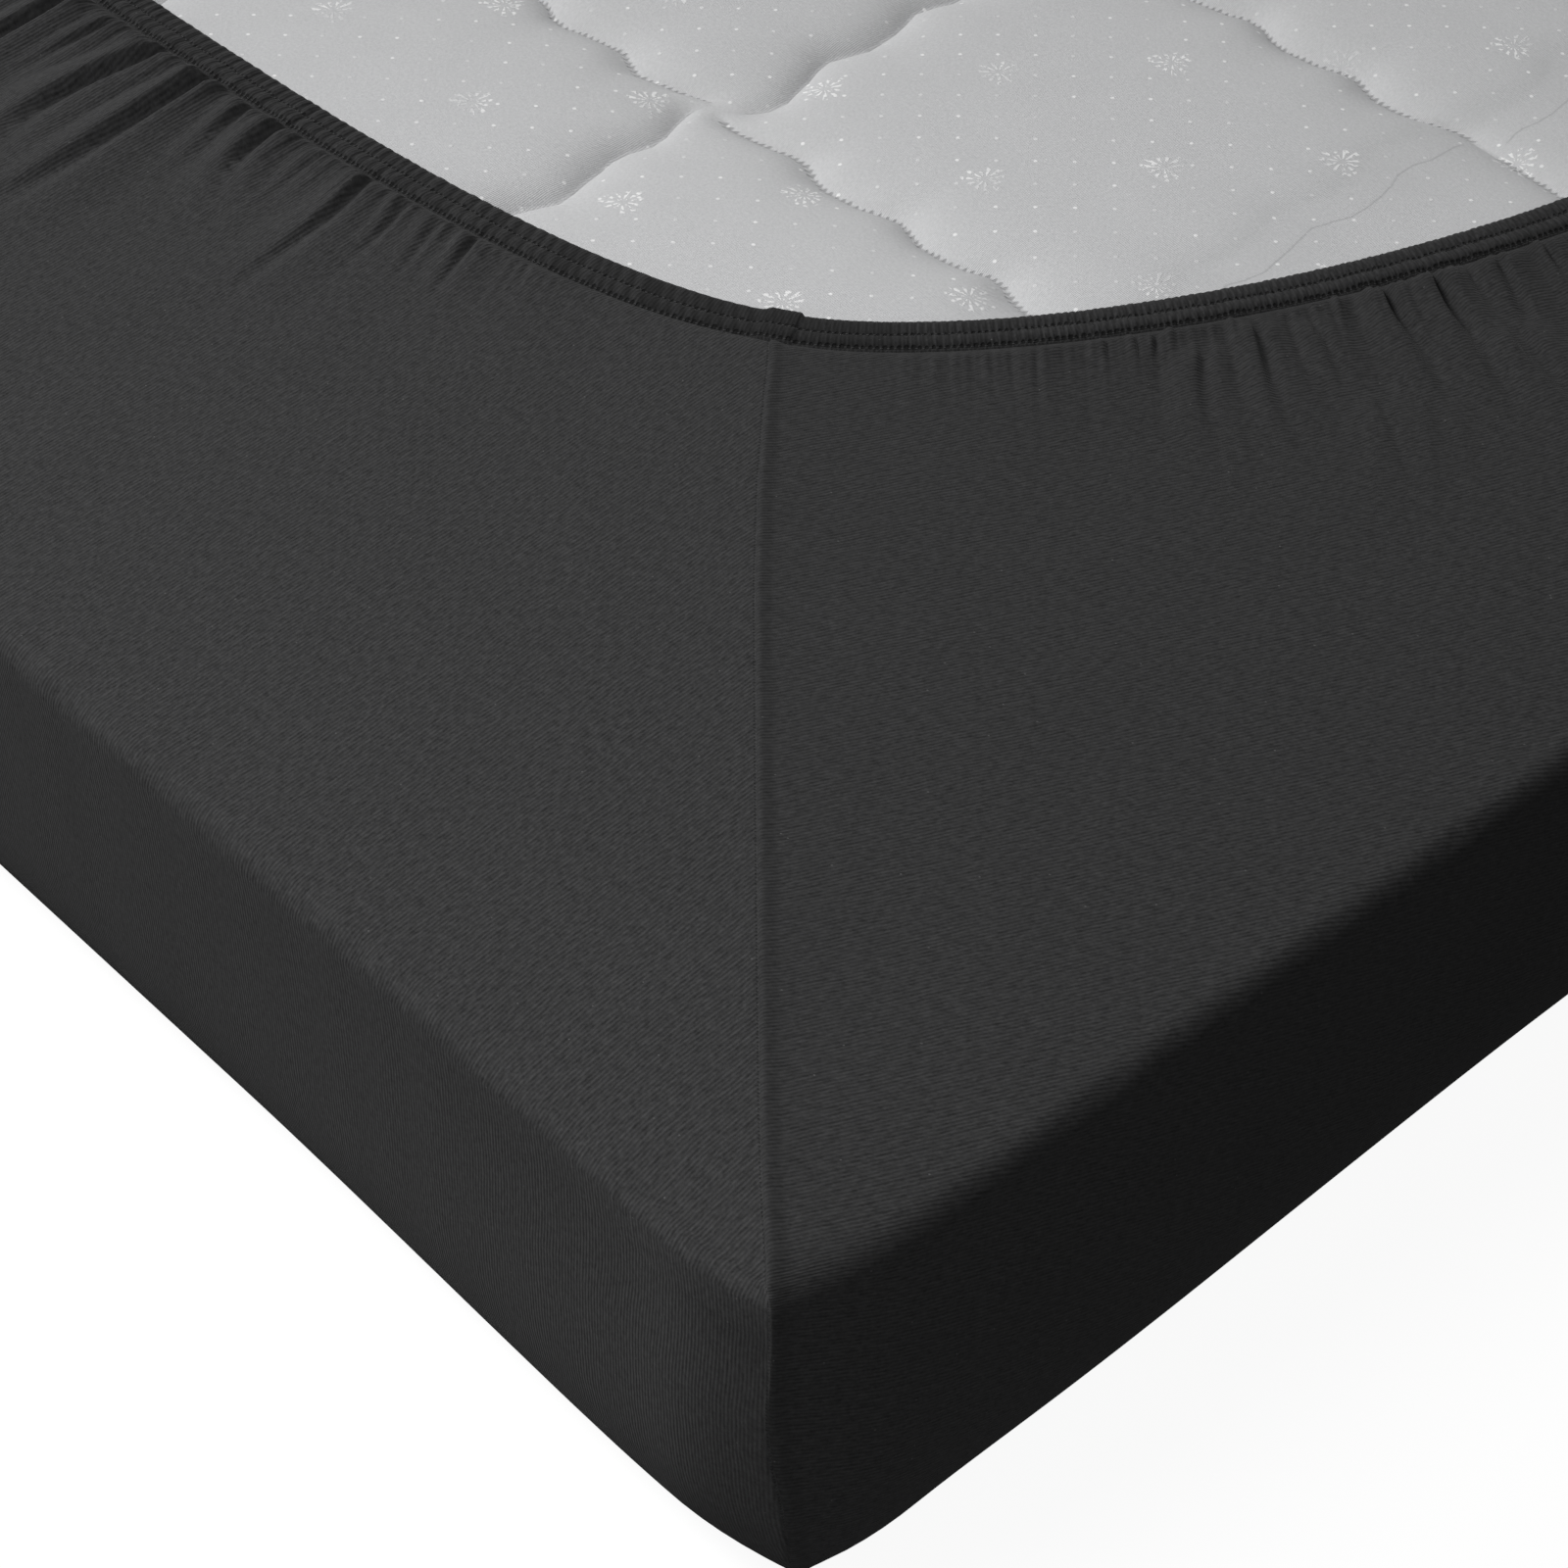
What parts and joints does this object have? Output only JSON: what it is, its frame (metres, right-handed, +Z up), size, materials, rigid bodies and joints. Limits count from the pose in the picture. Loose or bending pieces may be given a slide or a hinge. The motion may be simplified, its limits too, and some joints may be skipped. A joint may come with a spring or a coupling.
{
  "type": "fitted sheet on mattress",
  "caption": "Dark grey jersey fitted sheet pulled over a thin mattress that lies face down, with mitred corner seams and a gathered hem around the quilted ticking.",
  "frame": {"origin": "middle of the sleeping face, on the surface that the part lies on", "axes": "+Z up through the mattress, +Y along its length, +X across its width; the corner in the picture is at -X -Y"},
  "size_m": [1, 2, 0.1228],
  "materials": {
    "jersey": "matt anthracite single jersey with fine cross lines",
    "ticking": "pale grey knitted ticking, quilted, with small white dots and flower sprigs"
  },
  "bodies": {
    "root": {"fitted_sheet": "jersey", "mattress": "ticking"}
  },
  "joints": []
}
